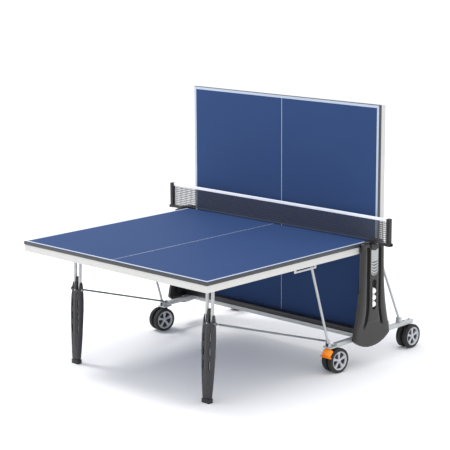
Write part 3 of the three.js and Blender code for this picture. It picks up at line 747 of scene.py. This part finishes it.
def net_fittings(side_name, side):
    """Post with a rounded cap, and the arm that clamps it to the tower top."""
    low, high = (Vector(c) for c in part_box(side_name + "_net_post"))
    bm = bmesh.new()
    round_box(bm, low, (high.x, high.y, high.z), 3 * MM)
    round_box(bm, (low.x - 0.6 * MM, low.y + 4 * MM, low.z + 8 * MM),
              (high.x + 0.6 * MM, high.y - 4 * MM, high.z - 14 * MM), 1.5 * MM)
    fit(finish_mesh(side_name + "_post", bm, NET_FRAME), "chassis", side_name + "_net_post")
    low, high = (Vector(c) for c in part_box(side_name + "_net_arm"))
    outer = max(abs(low.x), abs(high.x))
    bm = bmesh.new()
    cap = [(-60, 762.4), (60, 762.4), (57, 767), (48, 770), (-48, 770), (-57, 767)]
    add_prism(bm, [(y * MM, z * MM) for y, z in cap],
              lambda y, z, d: (side * (ARM_IN + d), NET_Y + y, z), 36 * MM)
    for part in ((TOWER_OUT + 6 * MM, outer, -14, 14, 749, 765.5), (outer - 36 * MM, outer, -16, 16,
                 748, 766), (TOWER_OUT + 2 * MM, TOWER_OUT + 30 * MM, -24, 24, 748, 767)):
        x0, x1, y0, y1, z0, z1 = part
        round_box(bm, *sorted_corners(side * x0, side * x1, NET_Y + y0 * MM, NET_Y + y1 * MM,
                                      z0 * MM, z1 * MM), 2.5 * MM)
    tab = [(34, 764), (34, 742)] + [
        (34 * math.cos(a), 742 - 32 * math.sin(a)) for a in [i * math.pi / 12 for i in range(1, 12)]
    ] + [(-34, 742), (-34, 764)]
    add_prism(bm, [(y * MM, z * MM) for y, z in tab],
              lambda y, z, d: (side * (PANEL_OUT - 3 * MM + d), NET_Y + y, z), 5.5 * MM)
    fit(finish_mesh(side_name + "_arm", bm, NET_FRAME), "chassis", side_name + "_net_arm")
    screw = bmesh.new()
    add_bar(screw, (0, -1.5 * MM, 0), (0, 1.5 * MM, 0), 5 * MM, 16)
    shape = finish_mesh("screw", screw, BOLT)
    spot = (side * (TOWER_OUT + 36 * MM), NET_Y - 14.6 * MM, ARM_Z)
    fit(at_points(side_name + "_arm_screw", [spot], shape, BOLT), "chassis")
    bpy.data.objects.remove(shape)


# ---- casters ----
def caster_place(name):
    """Axle centre and the axle's direction toward +X."""
    spin = joint(name + "_wheel_left_spin")
    axis = Vector(spin["axis"])
    return Vector(spin["pos_m"]), axis if axis.x > 0 else -axis


def wheels(name):
    """Two tyres on dark discs with silver five-spoke trims on their outer faces."""
    centre, axis = caster_place(name)
    across = axis.cross(Vector((0, 0, 1))).normalized()
    for which, way in SIDES:
        place = lambda a, b, x, way=way: centre + axis * way * x + across * a + Vector((0, 0, b))
        bm = bmesh.new()
        profile = [(6.4, 13), (48, 15), (55, 10.8), (66, 10), (71, 11.4), (74, 14),
                   (WHEEL_R, 16), (WHEEL_R, 22), (73.4, 22.8), (73.4, 24.2), (WHEEL_R, 25),
                   (WHEEL_R, 31), (74.6, 35), (73, 38.4), (70, 40.4), (64, 41), (58.5, 40.6),
                   (56.8, 39.4), (56, 36), (50, 27), (6.4, 26)]
        add_lathe(bm, [(r * MM, x * MM) for r, x in profile], place, 56)
        body = f"{name}_wheel_{which}"
        fit(finish_mesh(body + "_tyre", bm, TYRE, 40), body, body)
        rim = bmesh.new()
        ring = [(48.5, 29), (56.4, 36), (57.2, 39.4), (55.8, 40.6), (53.4, 40.4), (50.6, 38),
                (48, 33)]
        add_lathe(rim, [(r * MM, x * MM) for r, x in ring], place, 56)
        hub = [(0.1, 27), (13, 27), (13, 33), (11, 36), (7, 37.4), (0.1, 37.6)]
        add_lathe(rim, [(r * MM, x * MM) for r, x in hub], place, 32)
        trim = finish_mesh(body + "_trim_ring", rim, RIM, 40)
        fit(trim, body)
        spoke = bmesh.new()
        rows = [[spoke.verts.new((x * MM, p * MM, q * MM)) for p, x in (
            (-w, 27), (-w, 33), (-w * 0.55, 36.6 - 0.02 * q), (0, 35.4 - 0.02 * q),
            (w * 0.55, 36.6 - 0.02 * q), (w, 33), (w, 27))]
                for q, w in ((9, 5.6), (20, 5.9), (32, 7.2), (43, 9.6), (51.5, 12.5))]
        add_loft(spoke, rows)
        shape = finish_mesh("spokes", spoke, RIM)
        made = grow(body + "_spokes", RING, {"Shape": shape, "Count": 5, "Material": RIM})
        bpy.data.objects.remove(shape)
        turn = Matrix((axis * way, across, Vector((0, 0, 1)))).transposed().to_4x4()
        made.data.transform(Matrix.Translation(centre) @ turn)
        if turn.determinant() < 0:
            made.data.flip_normals()
        fit(made, body)


def pedal(name):
    """Orange brake lever: a domed hood over both wheels that turns out into a drooping lip."""
    centre, axis = caster_place(name)
    stem = Vector(joint(name + "_swivel")["pos_m"])
    ahead = centre - stem
    ahead.z = 0
    ahead.normalize()
    base = Vector((stem.x, stem.y, 0))
    spot = lambda x, y, z: base + axis * (x * MM) + ahead * (y * MM) + Vector((0, 0, z * MM))
    dome = [(-21, 147), (-28, 153), (-36, 154.5), (-45, 151), (-52, 143), (-56, 133), (-58, 123),
            (-57, 114), (-54, 107)]
    round_tyre = lambda r, degrees: (TRAIL + r * math.cos(math.radians(degrees)),
                                     WHEEL_R + r * math.sin(math.radians(degrees)))
    under = [round_tyre(WHEEL_R + TYRE_CLEAR, 128 + 4 * i) for i in range(9)]
    bm = bmesh.new()
    across = [k / 8 - 1 for k in range(17)]
    hood = []
    for s in across:
        full = 0.16 + 0.84 * math.sqrt(max(0.0, 1 - abs(s) ** 2.6))
        outer = [(a + (c - a) * full, b + (d - b) * full) for (a, b), (c, d) in zip(under, dome)]
        hood.append([bm.verts.new(spot(32 * s, y, z)) for y, z in outer + under[::-1]])
    add_loft(bm, hood)
    lip = []
    for s in across:
        over = [(-46 - 24 * t * (1 - 0.45 * s * s), 111 + rise - 3.5 * s * s)
                for t, rise in ((0, 0), (0.4, -1.5), (0.75, -1), (1, 1.2))]
        below = [(y, z - 4.4) for y, z in over]
        below[-1] = (below[-1][0] + 1.5, below[-1][1])
        lip.append([bm.verts.new(spot(44 * s, y, z)) for y, z in over + below[::-1]])
    add_loft(bm, lip)
    lug = [round_tyre(r, degrees) for r, degrees in ((79, 142), (79, 156), (57, 156), (57, 142))]
    add_prism(bm, lug, lambda y, z, d: spot(6 - d, y, z), 12)
    made = finish_mesh(name + "_pedal", bm, ORANGE, 50)
    fit(made, name + "_brake", name + "_brake_pedal")


# ---- legs ----
def leg_place(name):
    """Maps leg coordinates (across, outward, up the leg from its hinge) in mm to a point."""
    hinge = Vector(joint(name + "_leg_fold")["pos_m"])
    down = Vector(joint(name + "_foot_screw")["axis"])
    way = -1 if name.startswith("near") else 1
    out = Vector((0, -way * down.z, way * down.y))
    across = Vector((1, 0, 0))
    return lambda x, y, z: hinge + (across * x + out * y - down * z) * MM


def leg_shell(name):
    """Spindle-shaped cover whose top parts into two horns and a tongue round the leg tubes."""
    spot = leg_place(name)
    low, top = SHELL_LOW, SHELL_TOP
    rows = [(low, 27, 15), (low + 3, 30, 18), (low + 60, 34, 21), (low + 150, 39, 23.5),
            (low + 250, 43, 25.5), (top - 200, 44.5, 26), (top - 150, 44, 25.5),
            (top - 110, 42.4, 24), (top - 80, 40, 22), (top - 60, 38, 20.4), (top - 44, 35.4, 18.6),
            (top - 34, 33, 17), (top - 32, 12, 16), (top - 12, 10, 14), (top - 3, 7.5, 12),
            (top, 5, 9)]
    fine = []
    for (z0, a0, b0), (z1, a1, b1) in zip(rows, rows[1:]):
        steps = max(1, round((z1 - z0) / 12))
        for k in range(steps):
            t = k / steps
            fine.append((z0 + (z1 - z0) * t, a0 + (a1 - a0) * t, b0 + (b1 - b0) * t))
    fine.append(rows[-1])
    bm = bmesh.new()
    rings = []
    for z, a, b in fine:
        ring = []
        for i in range(40):
            turn = 2 * math.pi * (i + 0.5) / 40
            x, y = (half * math.copysign(abs(part) ** (2 / 3), part)
                    for half, part in ((a, math.cos(turn)), (b, math.sin(turn))))
            ring.append(bm.verts.new(spot(x, y, z)))
        rings.append(ring)
    add_loft(bm, rings)
    made = finish_mesh(name + "_shell", bm, SHELL, 40)
    cutters = []
    for x in (-LEG_TUBE_X, LEG_TUBE_X):
        bore = bmesh.new()
        add_bar(bore, spot(x, 0, LEG_BORE_END), spot(x, 0, top + 20), LEG_BORE_R * MM, 24)
        cutters.append(bore)
        gap = bmesh.new()
        arch = [(x + 10.6 * math.cos(a), top - 66 - 10.6 * math.sin(a))
                for a in [i * math.pi / 10 for i in range(11)]]
        add_prism(gap, arch + [(x - 10.6, top + 10), (x + 10.6, top + 10)],
                  lambda a, b, d: spot(a, d / MM - 30, b), 60 * MM)
        cutters.append(gap)
        for y in (-29, 29):
            flute = bmesh.new()
            middle = x * 1.06
            add_bar(flute, spot(middle, y, -590), spot(middle, y, top - 92), 14 * MM, 28, 9 * MM)
            cutters.append(flute)
    pocket = bmesh.new()
    add_prism(pocket, [(-16.5, -12.5), (16.5, -12.5), (16.5, 12.5), (-16.5, 12.5)],
              lambda x, y, d: spot(x, y, low - 2 + d / MM), 47 * MM)
    cutters.append(pocket)
    for x in (-22, 22):
        for i in range(3):
            z = top - 136 - 78 * i
            slot = bmesh.new()
            outline = [(x - 6, z - 46), (x, z - 52), (x + 6, z - 46), (x + 6, z - 6), (x, z),
                       (x - 6, z - 6)]
            add_prism(slot, outline, lambda a, b, d: spot(a, d / MM - 31, b), 62 * MM)
            cutters.append(slot)
    # the slots are cut first: cut after the flutes, the boolean leaves them closed
    carve(made, *[finish_mesh("cutter", one, SHELL) for one in reversed(cutters)])
    fit(made, name + "_leg", name + "_leg_shell")


def bolts_and_bushes():
    """Bolt heads on the leg shells and on the beam ends, and a bush at each near strut's foot."""
    head = bmesh.new()
    add_bar(head, (0, -2 * MM, 0), (0, 2 * MM, 0), 5.5 * MM, 16, 1.2 * MM)
    shape = finish_mesh("bolt head", head, BOLT)
    for prefix in ("near", "far"):
        for side_name, _ in SIDES:
            name = f"{prefix}_{side_name}"
            spot = leg_place(name)(0, 20.6, ROD_PIN)
            fit(at_points(name + "_leg_bolt", [spot], shape, BOLT), name + "_leg")
    bpy.data.objects.remove(shape)
    head = bmesh.new()
    add_bar(head, (0, 0, -2 * MM), (0, 0, 3.5 * MM), 6 * MM, 6, 0.8 * MM)
    shape = finish_mesh("hex head", head, BOLT)
    for side_name, side in SIDES:
        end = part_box(side_name + "_side_beam")[1][1]
        spots = [(side * 708 * MM, end - d * MM, BEAM_TOP) for d in (18, 72)]
        fit(at_points(side_name + "_beam_bolts", spots, shape, BOLT), "chassis")
        pivot = Vector(joint(f"near_{side_name}_strut_pivot")["pos_m"])
        bush = bmesh.new()
        ends = [(side * x * MM, pivot.y, pivot.z) for x in (689.5, 713.5)]
        add_bar(bush, *ends, 11 * MM, 24, 1.5 * MM)
        fit(finish_mesh(side_name + "_strut_bush", bush, NAVY), "chassis")
    bpy.data.objects.remove(shape)


# ---- balls ----
def ball(index):
    """One ball in the tower's channel."""
    low, high = (Vector(c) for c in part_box(f"ball_{index}"))
    bm = bmesh.new()
    radius = (high.z - low.z) / 2
    bmesh.ops.create_uvsphere(bm, u_segments=48, v_segments=24, radius=radius,
                              matrix=Matrix.Translation((low + high) / 2))
    fit(finish_mesh(f"table_tennis_ball_{index}", bm, BALL, 80), f"ball_{index}", f"ball_{index}")


# ---- stage ----
def studio():
    """Pale floor, white surroundings and soft lamps."""
    floor = bpy.data.meshes.new("floor")
    reach, level = 40, -0.5 * MM
    floor.from_pydata([(x * reach, y * reach, level) for x, y in
                       ((-1, -1), (1, -1), (1, 1), (-1, 1))], [], [(0, 1, 2, 3)])
    made = link_object("floor", floor)
    paint, tree, shader = new_material("pale studio floor", Roughness=0.9,
                                       Base_Color=linear("ffffff"))
    floor.materials.append(paint)
    world = bpy.data.worlds.new("studio")
    scene.world = world
    world.use_nodes = True
    world.node_tree.nodes["Background"].inputs[0].default_value = linear("fbfcff")
    world.node_tree.nodes["Background"].inputs[1].default_value = 1.13
    # name, place, width of the disk, watts, point it faces
    for name, place, size, power, aim in (
            ("key", (-3.6, -1.2, 5.0), 1.4, 130, (0, 0, 0.3)),
            ("fill", (5.0, -3.6, 2.4), 3.0, 25, (0.3, 0.2, 0.6)),
            ("top", (0.5, -1.0, 5.5), 3.5, 60, (0, 0.2, 0.4))):
        lamp = bpy.data.lights.new(name, "AREA")
        lamp.shape = "DISK"
        lamp.size = size
        lamp.energy = power
        put = bpy.data.objects.new(name, lamp)
        put.location = place
        put.rotation_euler = (Vector(place) - Vector(aim)).to_track_quat("Z", "Y").to_euler()
        scene.collection.objects.link(put)
    scene.view_settings.view_transform = "Standard"


# ---- the table ----
for prefix in ("near", "far"):
    board(prefix)
    eased(prefix + "_edge_band", EDGE, 0.8 * MM)
    eased(prefix + "_apron_frame", APRON, 0.5 * MM)
    eased(prefix + "_carriage_shaft", TUBE, 0.8 * MM)
    for side_name, side in SIDES:
        name = f"{prefix}_{side_name}"
        eased(name + "_leg_frame", TUBE, 0.6 * MM)
        leg_shell(name)
        eased(name + "_foot", FITTING, 2 * MM, 3)
        eased(name + "_strut", TUBE, 1.5 * MM)
        eased(name + "_link_rod", ROD, 0.6 * MM)
eased("cross_tube", TUBE, 1.5 * MM)
eased("cross_cover", SHELL, 2 * MM)
for side_name, side in SIDES:
    eased(side_name + "_side_beam", TUBE, 1.2 * MM)
    eased(side_name + "_guide_plate", PLATE, 0.5 * MM)
    tower(side_name, side)
    net_fittings(side_name, side)
    for prefix in ("near", "far"):
        name = f"{prefix}_{side_name}_caster"
        eased(name + "_fork", FITTING, 1.5 * MM)
        wheels(name)
pedal("near_right_caster")
pedal("far_left_caster")
bolts_and_bushes()
net()
for index in (1, 2, 3):
    ball(index)
studio()
